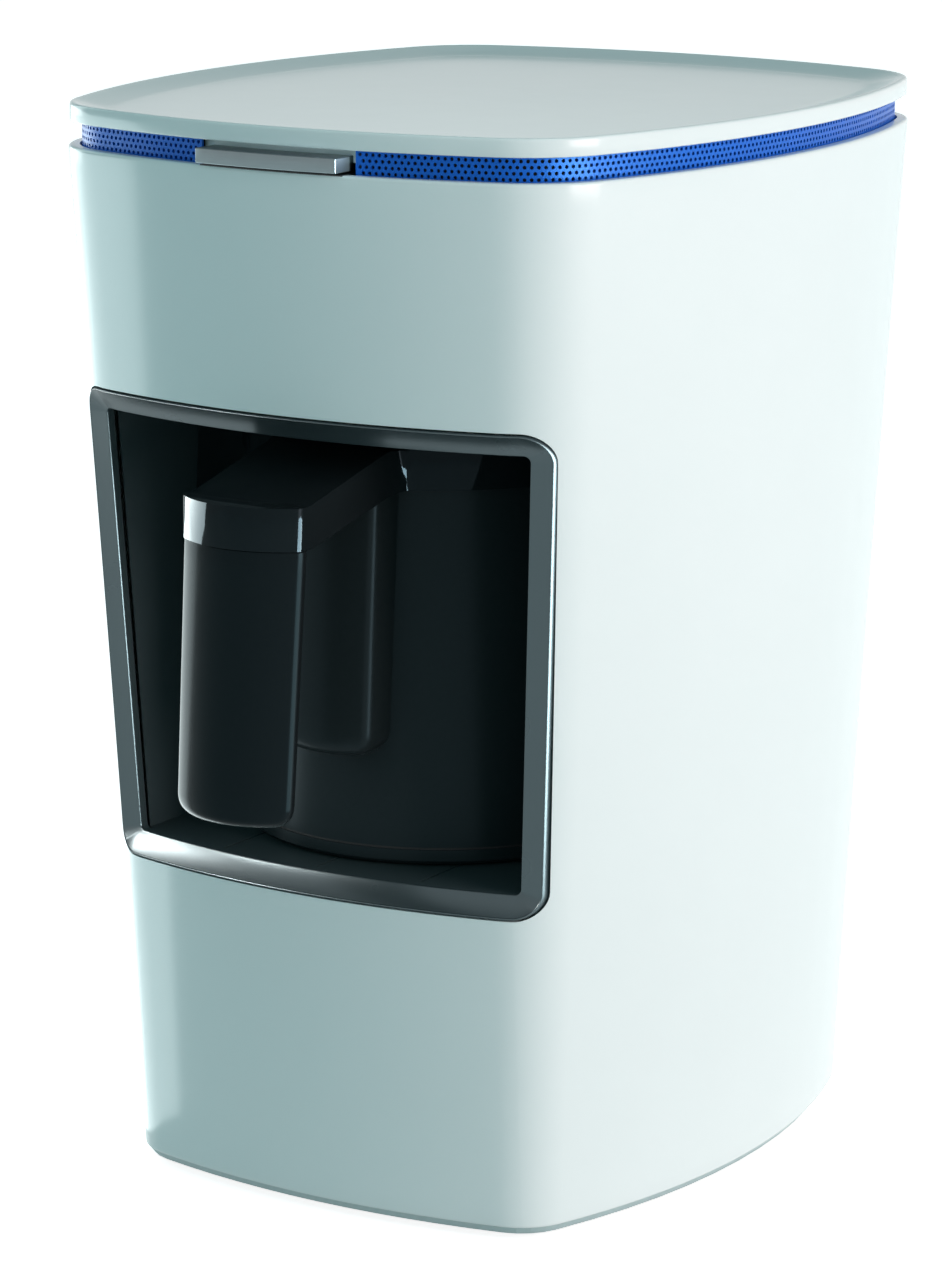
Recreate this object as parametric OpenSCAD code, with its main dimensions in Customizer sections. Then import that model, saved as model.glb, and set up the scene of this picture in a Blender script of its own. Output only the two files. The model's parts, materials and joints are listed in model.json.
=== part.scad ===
// Electric coffee maker with a removable pot in an open niche.
// Millimetres, +Z up, front towards -Y, origin under the middle of the part.

/* [Body] */
// Overall height, feet to lid
body_h = 258; // [240:1:290]
// Width at the top rim
body_w = 168.5; // [160:0.5:180]
// Depth at the top rim
body_d = 191.5; // [185:0.5:205]
// Width at the bottom edge
base_w = 142; // [134:0.5:156]
// Depth at the bottom edge
base_d = 161.5; // [156:0.5:176]
// Bulge of the front and back at the rim
front_bow = 19; // [14:0.5:24]
// Bulge of the front and back at the bottom
base_front_bow = 12; // [10:0.5:18]
// Bulge of the sides at the rim
side_bow = 22; // [16:0.5:26]
// Bulge of the sides at the bottom
base_side_bow = 18; // [14:0.5:20]
// Corner radius at the rim
corner_r = 26; // [18:0.5:30]
// Corner radius at the bottom
base_corner_r = 15; // [11:0.5:19]
// Shell wall thickness
wall = 2.6; // [2.2:0.1:3]

/* [Lid and vent band] */
// Thickness of the lid rim
lid_t = 4.3; // [3.6:0.1:5]
// Height of the perforated band that shows
band_h = 5.6; // [5:0.1:6.4]
// How far the band is set in from the rim
band_inset = 3.2; // [3:0.1:4]
// Depth of the dish in the lid
dish_depth = 1.9; // [1.4:0.1:2.4]
// Width of the slope around the dish
dish_slope = 8; // [6:0.5:11]

/* [Opening] */
// Height of the bezel's lower edge
bezel_z0 = 79; // [76:0.5:82]
// Height of the bezel's upper edge
bezel_z1 = 192; // [190:0.5:195]
// Half width of the bezel at its top
bezel_top = 64.5; // [62:0.1:66]
// Half width of the bezel at its bottom
bezel_bottom = 59.7; // [58:0.1:61]
// Width of the bezel face
bezel_face = 5.6; // [5:0.1:6]
// Depth that the bezel face slopes in
bezel_dip = 3.4; // [2.6:0.1:4]
// Corner radius outside the bezel
bezel_r = 6.5; // [5:0.5:8]
// Radius of the round chamber behind the opening
chamber_r = 61; // [59:0.5:62]

/* [Pot] */
// Radius at the foot of the pot
pot_r0 = 47; // [45:0.5:48]
// Radius under the collar
pot_r1 = 41; // [40:0.5:42]
// Radius of the collar
collar_r = 47; // [45:0.5:48]
// Height of the collar's lower edge
collar_z0 = 173.2; // [170:0.1:175]
// Height of the collar's upper edge
collar_z1 = 182.6; // [181:0.1:184]
// Half width of the handle
grip_w = 16.2; // [14:0.1:18]
// Lean of the grip in degrees
grip_lean = 4.6; // [3:0.1:6]
// Height of the grip's lower end
grip_z0 = 102.5; // [98:0.5:106]
// How far the handle stands out of the front
handle_reach = 17.5; // [15:0.25:20]
// Pot axis behind the middle of the body (negative is towards the front)
pot_y = -24; // [-26:0.5:-22]

/* [Button] */
// Half width of the start button
button_w = 19; // [16:0.5:22]
// Height of the start button
button_h = 3.4; // [3:0.1:3.6]

/* [Feet and cord inlet] */
// Height of the feet
foot_h = 2; // [1.6:0.1:3]
// Radius of the feet
foot_r = 7; // [6:0.5:8]
// Radius of the cord hole in the gland
cord_r = 3.6; // [3:0.1:4]

/* [Hidden] */
$fn = 64;

white = "#eef2f2";
blue = "#2c66c8";
gunmetal = "#46525a";
black = "#15191b";
steel = "#b9c0c4";
brushed = "#8c9698";
board_green = "#1d5a3c";
copper = "#b5713c";
brass = "#b89a4e";
rubber = "#24282a";

// heights
z_bot = foot_h;
lid_z0 = body_h - lid_t;
rim_z = lid_z0 - band_h;
frame_z1 = rim_z - 1.6;
frame_z0 = frame_z1 - 3;
shell_z0 = z_bot + 1.9;
floor_z = bezel_z0 + bezel_face - 0.6;
roof_z = bezel_z1 - 2;
// the front's foremost line, the arm's front end, and the leaning grip's foremost line
front_y = -body_d / 2;
arm_y = front_y - handle_reach;
grip_front = (collar_z0 - 12.9 - grip_z0) * tan(grip_lean) - 0.4 - arm_y;
// this centres the whole part on the origin, grip included
shift_y = (grip_front - body_d / 2) / 2;
module place() { translate([0, shift_y, 0]) children(); }

// ---- outline of the body at a height: four bulged sides, four round corners
function lerp(p, q, t) = p + (q - p) * t;
function down(z) = (rim_z - z) / (rim_z - z_bot);
function ease(z) = let (t = max(0, down(z))) t + 0.1 * t * (1 - t);
function half_w(z) = lerp(body_w, base_w, ease(z)) / 2;
function half_d(z) = lerp(body_d, base_d, ease(z)) / 2;
function arc_r(a, s) = (a * a + s * s) / (2 * s);
function rad_f(z) = arc_r(half_w(z), lerp(front_bow, base_front_bow, max(0, down(z))));
function rad_s(z) = arc_r(half_d(z), lerp(side_bow, base_side_bow, max(0, down(z))));
function cor_r(z) = lerp(corner_r, base_corner_r, max(0, down(z)));
function bend(c, r, a0, a1, n) =
  [for (i = [0 : n - 1]) let (t = a0 + (a1 - a0) * i / n) c + r * [cos(t), sin(t)]];
function ang(v) = atan2(v[1], v[0]);
function quarter(a, b, rf, rs, r) =
  let (c1 = [0, rf - b], c2 = [a - rs, 0], d = c2 - c1, l = norm(d),
    h = ((rf - r) * (rf - r) - (rs - r) * (rs - r) + l * l) / (2 * l),
    k = sqrt((rf - r) * (rf - r) - h * h), u = d / l,
    c = c1 + u * h + k * [-u[1], u[0]])
  concat(bend(c1, rf, -90, ang(c - c1), 6), bend(c, r, ang(c - c1), ang(c - c2), 4),
    bend(c2, rs, ang(c - c2), 0, 6), [[a, 0]]);
function around(q) =
  let (n = len(q), h = concat(q, [for (i = [n - 2 : -1 : 0]) [q[i][0], -q[i][1]]]))
  concat(h, [for (i = [len(h) - 2 : -1 : 1]) [-h[i][0], h[i][1]]]);
function outline(z, inset = 0) =
  around(quarter(half_w(z) - inset, half_d(z) - inset, rad_f(z) - inset,
    rad_s(z) - inset, max(cor_r(z) - inset, 0.8)));
function ring(z, inset) = [for (p = outline(z, inset)) [p[0], p[1], z]];
// centre of the round corner at a height, and y of the front skin at a place on it
function corner_at(z) =
  let (a = half_w(z), b = half_d(z), rf = rad_f(z), rs = rad_s(z), r = cor_r(z),
    c1 = [0, rf - b], d = [a - rs, 0] - c1, l = norm(d), u = d / l,
    h = ((rf - r) * (rf - r) - (rs - r) * (rs - r) + l * l) / (2 * l))
  c1 + u * h + sqrt((rf - r) * (rf - r) - h * h) * [-u[1], u[0]];
function skin_y(x, z) =
  let (rf = rad_f(z), r = cor_r(z), c = corner_at(z), k = rf - half_d(z),
    tx = c[0] * rf / (rf - r))
  abs(x) <= tx ? k - sqrt(rf * rf - x * x)
    : c[1] - sqrt(max(r * r - (abs(x) - c[0]) * (abs(x) - c[0]), 0.01));

// solid through rings of equal count, closed by its first and last ring
module loft(rings) {
  n = len(rings[0]);
  m = len(rings);
  pts = [for (r = rings) each r];
  sides = [for (j = [0 : m - 2], i = [0 : n - 1])
    let (a = j * n + i, b = j * n + (i + 1) % n)
    each [[a, a + n, b], [b, a + n, b + n]]];
  polyhedron(pts, concat([[for (i = [0 : n - 1]) i]],
    [[for (i = [n - 1 : -1 : 0]) (m - 1) * n + i]], sides));
}
// solid through rings joined in a loop
module hoop(rings) {
  n = len(rings[0]);
  m = len(rings);
  polyhedron([for (r = rings) each r], [for (j = [0 : m - 1], i = [0 : n - 1])
    let (a = j * n + i, b = j * n + (i + 1) % n, c = ((j + 1) % m) * n + i,
      d = ((j + 1) % m) * n + (i + 1) % n)
    each [[a, c, b], [b, c, d]]]);
}
// body-shaped solid: list of [height, inset]
module body_solid(levels) { loft([for (l = levels) ring(l[0], l[1])]); }
// plain body-shaped plate with vertical sides, outline taken at one height
module slab(z0, z1, at, inset) {
  translate([0, 0, z0]) linear_extrude(z1 - z0) polygon(outline(at, inset));
}

// ---- outline of the opening, in X and Z
function edge_pts(p, q, n) = [for (i = [0 : n - 1]) lerp(p, q, i / n)];
function gate(wt, wb, z0, z1, r) =
  let (s = atan2(wt - wb, z1 - z0))
  concat(
    edge_pts([-wb + r, z0], [wb - r, z0], 12),
    bend([wb - r, z0 + r], r, -90, -s, 4),
    edge_pts([wb, z0 + r], [wt, z1 - r], 6),
    bend([wt - r, z1 - r], r, -s, 90, 4),
    edge_pts([wt - r, z1], [-wt + r, z1], 12),
    bend([-wt + r, z1 - r], r, 90, 180 + s, 4),
    edge_pts([-wt, z1 - r], [-wb, z0 + r], 6),
    bend([-wb + r, z0 + r], r, 180 + s, 270, 4));
gate_out = gate(bezel_top, bezel_bottom, bezel_z0, bezel_z1, bezel_r);
gate_in = gate(bezel_top - bezel_face - 0.5, bezel_bottom - bezel_face - 0.5,
  bezel_z0 + bezel_face - 0.3, bezel_z1 - bezel_face + 0.3, 1.4);
// ring of the bezel: 0 is its outer edge, 1 its inner edge
function frame_ring(f, depth) = [for (i = [0 : len(gate_out) - 1])
  let (p = lerp(gate_out[i], gate_in[i], f)) [p[0], skin_y(p[0], p[1]) + depth, p[1]]];
module gate_prism(pts, y0, y1) {
  translate([0, y1, 0]) rotate([90, 0, 0]) linear_extrude(y1 - y0) polygon(pts);
}
function grow(pts, d) = [for (p = pts) p + d * [sign(p[0]) * min(1, abs(p[0]) / 40),
  sign(p[1] - 135) * min(1, abs(p[1] - 135) / 30)]];

module box(x, y, z, w, d, h) { translate([x - w / 2, y - d / 2, z]) cube([w, d, h]); }
module rod(x, y, z, r, h) { translate([x, y, z]) cylinder(r = r, h = h); }
module lying(x, y, z, r, l) { translate([x, y, z]) rotate([-90, 0, 0]) cylinder(r = r, h = l); }
module tube(z0, z1, ro, ri) {
  difference() {
    translate([0, 0, z0]) cylinder(r = ro, h = z1 - z0);
    translate([0, 0, z0 - 1]) cylinder(r = ri, h = z1 - z0 + 2);
  }
}

// ---- places of fasteners, posts and feet
feet_at = [base_w / 2 - 31, base_d / 2 - 30.75];
post_x = bezel_bottom - 9.7;
lower_post_at = [[-post_x, pot_y - 10], [post_x, pot_y - 10],
  [23 - chamber_r, pot_y + 32], [chamber_r - 23, pot_y + 32]];
upper_post_at = [[-post_x, pot_y - 36], [post_x, pot_y - 36],
  [19 - chamber_r, pot_y + 30], [chamber_r - 19, pot_y + 30]];
lid_screw_x = body_w / 2 - 28.25;
lid_screw_y = body_d / 2 - 19.75;
lid_screw_at = [for (y = [-1, 1], x = [-1, 1]) [x * lid_screw_x, y * lid_screw_y]];
// boards: width, front edge and back edge, and the height of the upper one
power_w = base_w - 54;
power_y0 = pot_y - 8;
power_y1 = base_d / 2 - 24.75;
power_post_at = [for (y = [power_y0 + 6, power_y1 - 20], x = [-1, 1]) [x * (power_w / 2 - 6), y]];
control_y0 = pot_y - 38;
control_y1 = power_y1;
control_z = frame_z0 - 23.5;
board_post_at = [[-26, pot_y - 32], [34, pot_y - 32], [-26, pot_y + 36], [30, pot_y + 36]];
conduit_x = power_w / 2 - 4;
conduit_y = power_y1 - 9;
clamp_y = base_d / 2 - 18.75;
gland_z = 24;
gland_y = half_d(gland_z);

// ================= housing =================
module outer_shell() {
  color(white) place() difference() {
    body_solid([[shell_z0, 0], [30, 0], [75, 0], [120, 0], [165, 0], [210, 0], [rim_z, 0]]);
    body_solid([[shell_z0 - 1, wall], [75, wall], [165, wall], [rim_z + 1, wall]]);
    gate_prism(grow(gate_out, 0.4), front_y - 15, front_y + 56);
    // notch for the button's guide
    box(0, front_y + 0.75, rim_z - 0.9, 2 * button_w + 1.4, 16, 4);
    lying(0, gland_y - 20, gland_z, 6.8, 40);
  }
}
module base_tray() {
  color("#d9dfdf") place() difference() {
    union() {
      body_solid([[z_bot, 1.7], [shell_z0 - 0.1, 0.4]]);
      slab(shell_z0 - 0.2, 10, z_bot, wall + 0.5);
    }
    slab(5.8, 11, z_bot, wall + 2.7);
    for (x = [-1, 1], y = [-1, 1]) rod(x * feet_at[0], y * feet_at[1], 0, 3.05, 9);
    for (p = lower_post_at) rod(p[0], p[1], 0, 1.7, 9);
    for (p = lower_post_at) rod(p[0], p[1], 0, 3.4, 4.4);
    for (i = [-5 : 5], y = [-20, 12]) box(i * 5, y, 0, 2.4, 18, 9);
  }
}
module foot(x, y) {
  color(rubber) place() translate([x, y, 0]) {
    cylinder(r1 = foot_r - 0.8, r2 = foot_r, h = 0.8);
    translate([0, 0, 0.8]) cylinder(r = foot_r, h = foot_h - 0.8);
    cylinder(r = 3, h = foot_h + 3.7);
  }
}
module foot_front_left() { foot(-feet_at[0], -feet_at[1]); }
module foot_front_right() { foot(feet_at[0], -feet_at[1]); }
module foot_rear_left() { foot(-feet_at[0], feet_at[1]); }
module foot_rear_right() { foot(feet_at[0], feet_at[1]); }
// screw pointing up: head at z, shank above it
module screw_up(x, y, z, l) {
  difference() {
    rod(x, y, z, 3, 1.2);
    box(x, y, z - 1, 3.6, 0.8, 1.6);
    box(x, y, z - 1, 0.8, 3.6, 1.6);
  }
  rod(x, y, z + 1.2, 1.5, l);
}
module base_screws() {
  color(steel) place() for (p = lower_post_at) screw_up(p[0], p[1], 3.2, 6.6);
}
module vent_band() {
  color(blue) place() difference() {
    slab(frame_z1, lid_z0, rim_z, band_inset);
    slab(frame_z1 - 1, lid_z0 + 1, rim_z, band_inset + 1.4);
    box(0, front_y + 5.75, frame_z1 - 1, 2 * button_w + 3, 20, 12);
  }
}
module top_frame() {
  color("#c9d0d0") place() difference() {
    slab(frame_z0, frame_z1, rim_z, wall + 0.6);
    box(0, 0, frame_z0 - 1, body_w - 96.5, body_d - 71.5, 6);
    for (p = lid_screw_at) rod(p[0], p[1], frame_z0 - 1, 1.7, 6);
  }
}
module top_lid() {
  color(white) place() difference() {
    union() {
      difference() {
        union() {
          body_solid([[lid_z0, 0.9], [lid_z0 + 0.5, 0.4], [body_h - 0.8, 0.4],
            [body_h - 0.2, 0.65], [body_h, 1.2]]);
          slab(lid_z0 - 3.2, lid_z0 + 0.1, rim_z, band_inset + 2);
        }
        slab(lid_z0 - 4, body_h - dish_depth - 2, rim_z, band_inset + 4.4);
      }
      for (p = lid_screw_at) rod(p[0], p[1], frame_z1, 4.5, body_h - dish_depth - 1.9 - frame_z1);
    }
    body_solid([for (i = [6 : -1 : 0]) let (t = i / 6)
      [body_h + (i == 0 ? 0.01 : 0) - dish_depth * (1 - pow(1 - t, 1.8)), 1.8 + dish_slope * t]]);
    for (p = lid_screw_at) rod(p[0], p[1], frame_z1 - 1, 1.6, 5);
    box(0, front_y + 4.05, rim_z, 2 * button_w + 4, 10.8, lid_z0 - rim_z);
  }
}
module lid_screws() {
  color(steel) place() for (p = lid_screw_at) screw_up(p[0], p[1], frame_z0 - 1.2, 6);
}
bezel_back = 6;
module bezel_frame() {
  color(gunmetal) place() hoop([frame_ring(0, 0), frame_ring(0.04, -0.5), frame_ring(0.15, -0.5),
    frame_ring(0.2, 0), frame_ring(0.95, bezel_dip - 0.15), frame_ring(1, bezel_dip + 0.2),
    frame_ring(1, bezel_back), frame_ring(0.7, bezel_back), frame_ring(0, wall + 1.5)]);
}
// soft strip that lies along the bezel's slanted back, a clearance behind it
function back_ring(f, d) = let (a = frame_ring(0, wall + 1.5), b = frame_ring(0.7, bezel_back))
  [for (i = [0 : len(a) - 1]) lerp(a[i], b[i], f) + [0, d, 0]];
module bezel_gasket() {
  color(black) place() hoop([back_ring(0.08, 0.3), back_ring(0.32, 0.3), back_ring(0.32, 0.9),
    back_ring(0.08, 0.9)]);
}
// side half width of the niche at a height
function niche_w(z) = lerp(bezel_bottom, bezel_top, (z - bezel_z0) / (bezel_z1 - bezel_z0))
  - bezel_face - 0.5;
module niche(z0, z1, t) {
  gate_prism([[-niche_w(z0) - t, z0], [niche_w(z0) + t, z0], [niche_w(z1) + t, z1],
    [-niche_w(z1) - t, z1]], front_y - 4.25, pot_y - 12);
  rod(0, pot_y, z0, chamber_r + t, z1 - z0);
}
module cavity_liner() {
  color(black) place() intersection() {
    difference() {
      niche(floor_z, roof_z + 2, 2);
      niche(floor_z - 1, roof_z, 0);
      // sensor window
      rod(0, pot_y, roof_z - 1, 8, 4);
      // rear connector
      box(0, pot_y + chamber_r, floor_z + 4, 30.4, 24, 26.4);
      // presence sensor
      box(27 - chamber_r, pot_y + chamber_r - 10, floor_z + 8, 7, 18, 9);
    }
    body_solid([[floor_z - 4, 6.1], [135, 6.1], [roof_z + 4, 6.1]]);
  }
}
module cavity_floor() {
  color(black) place() difference() {
    intersection() {
      niche(floor_z - 2.6, floor_z, 2);
      body_solid([[floor_z - 4, 6.1], [floor_z + 2, 6.1]]);
    }
    for (x = [-27.5, 0, 27.5]) box(x, pot_y - 36, floor_z - 0.5, 0.6, 80, 1);
  }
}
module heat_shield() {
  color(steel) place() difference() {
    box(0, pot_y + 2, floor_z - 9, 2 * post_x + 4, 84, 0.8);
    for (p = lower_post_at) rod(p[0], p[1], floor_z - 10, 4.7, 4);
  }
}
module lower_posts() {
  color("#c9d0d0") place() for (p = lower_post_at) translate([p[0], p[1], 0]) difference() {
    rod(0, 0, 5.8, 4.5, floor_z - 8.4);
    rod(0, 0, 5, 1.5, 8);
  }
}
module upper_posts() {
  color("#c9d0d0") place() for (p = upper_post_at)
    rod(p[0], p[1], roof_z + 2, 4, frame_z0 - roof_z - 2);
}
module rear_socket() {
  color(black) place() difference() {
    union() {
      box(0, pot_y + chamber_r + 0.5, floor_z + 4.2, 30, 17, 26);
      box(0, pot_y + chamber_r + 4.2, floor_z + 1.2, 38, 3.6, 32);
    }
    for (x = [-8, 0, 8]) lying(x, pot_y + chamber_r - 12, floor_z + 17, 1.95, 30);
  }
}
module contact_pins() {
  color(brass) place() for (x = [-8, 0, 8]) lying(x, pot_y + chamber_r - 13.7, floor_z + 17, 1.95, 26);
}
module presence_sensor() {
  color("#303436") place() difference() {
    box(27 - chamber_r, pot_y + chamber_r - 6, floor_z + 8.2, 6.6, 10, 8.6);
    lying(27 - chamber_r, pot_y + chamber_r - 12, floor_z + 12.5, 1.4, 3);
  }
}
module sensor_housing() {
  color("#303436") place() translate([0, pot_y, roof_z + 2]) difference() {
    cylinder(r = 15, h = 9);
    translate([0, 0, -1]) cylinder(r = 8, h = 8);
  }
}
module sensor_lens() {
  color("#3a1414") place() rod(0, pot_y, roof_z + 0.2, 7.9, 3);
}
module control_board() {
  color(board_green) place() difference() {
    union() {
      box(2, (control_y0 + control_y1) / 2, control_z, 70, control_y1 - control_y0, 1.6);
      box(conduit_x - 4, control_y1 - 9, control_z, 20, 18, 1.6);
    }
    for (p = board_post_at) rod(p[0], p[1], control_z - 1, 1.2, 4);
  }
}
module board_posts() {
  color(brass) place() for (p = board_post_at)
    rod(p[0], p[1], roof_z + 2, 3, control_z - roof_z - 2);
}
module buzzer() {
  color(black) place() translate([28, pot_y - 6, control_z + 1.6]) difference() {
    cylinder(r = 7, h = 7);
    translate([0, 0, 5.5]) cylinder(r = 1.2, h = 3);
  }
}
module start_switch() {
  color("#303436") place() {
    box(0, front_y + 20.75, frame_z1, 9, 8, 3.9);
    lying(0, front_y + 14.75, stem_z, 0.9, 2);
  }
}
module power_board() {
  color(board_green) place() difference() {
    box(0, (power_y0 + power_y1) / 2, 14, power_w, power_y1 - power_y0, 1.6);
    for (p = power_post_at) rod(p[0], p[1], 13, 1.2, 4);
    for (p = lower_post_at) rod(p[0], p[1], 13, 5, 4);
  }
}
module power_standoffs() {
  color(brass) place() for (p = power_post_at) rod(p[0], p[1], 5.8, 3, 8.2);
}
module power_relay() { color("#20262a") place() box(22, power_y0 + 18, 15.6, 16, 20, 15); }
module transformer() {
  color("#5a5f63") place() {
    box(-14, power_y0 + 32, 15.6, 34, 30, 24);
    box(-14, power_y0 + 32, 39.6, 24, 20, 4);
  }
}
module capacitor() { color("#2a3552") place() rod(14, power_y1 - 30, 15.6, 6, 20); }
module heatsink() {
  color("#9aa1a4") place() {
    box(-18, power_y1 - 16, 15.6, 40, 3, 34);
    for (i = [-4 : 4]) box(-18 + i * 4.6, power_y1 - 10.5, 15.6, 1.4, 8, 34);
  }
}
module terminal_block() {
  color("#3c6a48") place() difference() {
    box(22, power_y1 - 9, 15.6, 22, 9, 11);
    for (x = [15, 22, 29]) rod(x, power_y1 - 9, 21, 2, 8);
  }
}
module wire_conduit() {
  color("#3a3f42") place() rod(conduit_x, conduit_y, 15.6, 3.5, control_z - 15.6);
}
module cord_gland() {
  color(black) place() difference() {
    union() {
      lying(0, gland_y - 13, gland_z, 6.5, 14);
      lying(0, gland_y + 0.6, gland_z, 9, 2.4);
      lying(0, gland_y - wall - 4.2, gland_z, 8.5, 3.5);
    }
    lying(0, gland_y - 20, gland_z, cord_r, 40);
  }
}
module cord_clamp() {
  color(black) place() difference() {
    box(0, clamp_y, 5.8, 26, 5, 23);
    lying(0, clamp_y - 7, gland_z, cord_r, 14);
    for (x = [-9, 9]) rod(x, clamp_y, 15, 1.2, 20);
  }
}
module clamp_screws() {
  color(steel) place() for (x = [-9, 9]) {
    rod(x, clamp_y, 28.8, 2.3, 1.6);
    rod(x, clamp_y, 17, 1.15, 11.8);
  }
}

// ================= start button =================
stem_z = frame_z1 + 2.8;
bar_r = rad_f(rim_z);
bar_c = bar_r - body_d / 2;
// slice of the front skin's curve, between two depths behind the lid's edge
module curved_bar(w, z0, h, d0, d1) {
  intersection() {
    translate([0, bar_c, z0]) difference() {
      cylinder(r = bar_r - d0, h = h, $fn = 96);
      translate([0, 0, -1]) cylinder(r = bar_r - d1, h = h + 2, $fn = 96);
    }
    box(0, front_y + 15.75, z0 - 1, 2 * w, 60, h + 2);
  }
}
module button_guide() {
  color("#2b3133") place() {
    curved_bar(button_w + 0.3, rim_z - 0.8, 0.9, 0.3, 9);
    for (x = [-12, 12]) difference() {
      box(x, front_y + 12.5, frame_z1, 8, 7.5, 3.9);
      lying(x, front_y + 5.75, stem_z, 1.3, 14);
    }
  }
}
module start_button() {
  color(brushed) place() curved_bar(button_w, rim_z + 0.6, button_h, -1.9, 6.1);
}
module button_stems() {
  color("#303436") place() {
    for (x = [-12, 12]) lying(x, front_y + 6.6, stem_z, 1, 6);
    lying(0, front_y + 6.1, stem_z, 1, 7);
  }
}

// ================= pot =================
pot_z0 = floor_z + 0.65;
function pot_r(z) = lerp(pot_r0, pot_r1, (z - pot_z0) / (collar_z0 - pot_z0));
module cone(z0, z1, d) {
  translate([0, pot_y, z0]) cylinder(r1 = pot_r(z0) + d, r2 = pot_r(z1) + d, h = z1 - z0, $fn = 96);
}
module pot_body() {
  color(black) place() difference() {
    cone(pot_z0 + 4, collar_z0, 0);
    cone(pot_z0 + 3, collar_z0 + 1, -2);
  }
}
module pot_cup() {
  color(steel) place() difference() {
    union() {
      cone(pot_z0 + 12, collar_z1 - 2, -3.4);
      translate([0, pot_y, collar_z1 - 3]) cylinder(r = collar_r - 8.2, h = 1);
    }
    cone(pot_z0 + 13.2, collar_z1, -4.4);
  }
}
// plan of the arm: bowed front, round edges, straight sides, concave blends into the collar
fil = 9;
fil_y = -sqrt((collar_r + fil) * (collar_r + fil) - (grip_w + fil) * (grip_w + fil));
fil_a = ang([grip_w + fil, fil_y]);
arm_r = arc_r(grip_w, 6);
edge_r = 2.6;
edge_x = grip_w - edge_r;
edge_y = arm_y + arm_r - sqrt((arm_r - edge_r) * (arm_r - edge_r) - edge_x * edge_x);
edge_a = asin(edge_x / (arm_r - edge_r)) - 90;
function arm_half() =
  concat(bend([0, arm_y + arm_r], arm_r, -90, edge_a, 9),
    bend([edge_x, edge_y], edge_r, edge_a, 0, 5), [[grip_w, edge_y]],
    [for (i = [0 : 6]) let (t = 180 + fil_a * i / 6)
      [grip_w + fil, pot_y + fil_y] + fil * [cos(t), sin(t)]],
    [[collar_r * cos(fil_a), pot_y + collar_r * sin(fil_a)], [20, pot_y - 32]]);
module arm_plan() {
  h = arm_half();
  polygon(concat(h, [for (i = [len(h) - 1 : -1 : 1]) [-h[i][0], h[i][1]]]));
}
// lower and upper face of the arm's flat front end
arm_z0 = collar_z0 - 7.8;
arm_z1 = collar_z0 + 2;
module pot_collar() {
  arm = [[arm_y - 4, arm_z0], [arm_y - 4, arm_z1], [arm_y + 10, arm_z1],
    [pot_y - 48, collar_z1], [pot_y - 31, collar_z1], [pot_y - 31, collar_z0],
    [pot_y - 44, collar_z0], [pot_y - 50, collar_z0 - 1.6], [arm_y + 11, arm_z0]];
  color(black) place() difference() {
    union() {
      rod(0, pot_y, collar_z0, collar_r, collar_z1 - collar_z0);
      intersection() {
        translate([0, 0, collar_z0 - 23]) linear_extrude(50) arm_plan();
        translate([-40, 0, 0]) rotate([90, 0, 90]) linear_extrude(80) polygon(arm);
      }
      for (s = [-1, 1]) translate([0, pot_y, collar_z0]) linear_extrude(collar_z1 - collar_z0)
        polygon([for (q = [[-13, -31], [1, -15], [6, -5], [7, 0], [6, 5], [1, 15], [-13, 31]])
          [s * (collar_r + q[0]), q[1]]]);
    }
    rod(0, pot_y, collar_z0 - 1, collar_r - 9.2, 20);
    rod(0, pot_y, collar_z1 - 3.1, collar_r - 8, 20);
    // pouring channels
    for (s = [-1, 1]) translate([0, pot_y, collar_z1 - 5]) linear_extrude(10)
      polygon([for (q = [[-17, -18], [-1, -9], [13, -3.5], [13, 3.5], [-1, 9], [-17, 18]])
        [s * (collar_r + q[0]), q[1]]]);
  }
}
// upright grip, leaning out at the bottom: bowed in front, with half round sides
grip_z1 = arm_z0 - 0.1;
// plane between the grip's front shell and its back
grip_y = edge_y;
split_a = -asin(0.4 / edge_r);
function lean(z) = -(grip_z1 - z) * tan(grip_lean);
function grip_half() = concat(bend([0, arm_y + 0.4 + arm_r], arm_r, -90, edge_a, 9),
  bend([edge_x, edge_y + 0.4], edge_r, edge_a, split_a, 4),
  [[edge_x + edge_r * cos(split_a), grip_y]]);
function core_half() = concat(bend([edge_x, edge_y + 0.4], edge_r, split_a, 90, 6),
  [[edge_x, edge_y + 0.4 + edge_r]]);
function both(h, first) = concat(h, [for (i = [len(h) - 1 : -1 : first]) [-h[i][0], h[i][1]]]);
// ring of a plan at a height: it narrows a little downwards
function grip_ring(plan, z, s) = let (w = s * (1 - 0.045 * (grip_z1 - z) / (grip_z1 - grip_z0)))
  [for (p = plan) [p[0] * w, (p[1] - grip_y) * s + grip_y + lean(z), z]];
module grip_part(plan) {
  loft([grip_ring(plan, grip_z0, 0.79), grip_ring(plan, grip_z0 + 0.5, 0.85),
    grip_ring(plan, grip_z0 + 1.3, 0.92), grip_ring(plan, grip_z0 + 2.6, 0.975),
    grip_ring(plan, grip_z0 + 4.6, 1), grip_ring(plan, grip_z1, 1)]);
}
grip_screw_z = [grip_z0 + 17, grip_z1 - 10.5];
module handle_grip() {
  color(black) place() difference() {
    grip_part(both(grip_half(), 1));
    for (z = grip_screw_z) lying(0, grip_y - 4.4 + lean(z), z, 1.3, 10);
  }
}
module handle_core() {
  color("#1d2224") place() difference() {
    grip_part(both(core_half(), 0));
    for (z = grip_screw_z) lying(0, grip_y - 7 + lean(z), z, 1.5, 20);
    for (z = grip_screw_z) lying(0, grip_y + 1.5 + lean(z), z, 2.6, 10);
  }
}
module handle_screws() {
  color(steel) place() for (z = grip_screw_z) {
    lying(0, grip_y - 4 + lean(z), z, 1.25, 5.7);
    difference() {
      lying(0, grip_y + 1.6 + lean(z), z, 2.4, 1.2);
      box(0, grip_y + 2.8 + lean(z), z - 0.4, 3.4, 1.6, 0.8);
    }
  }
}
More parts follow.
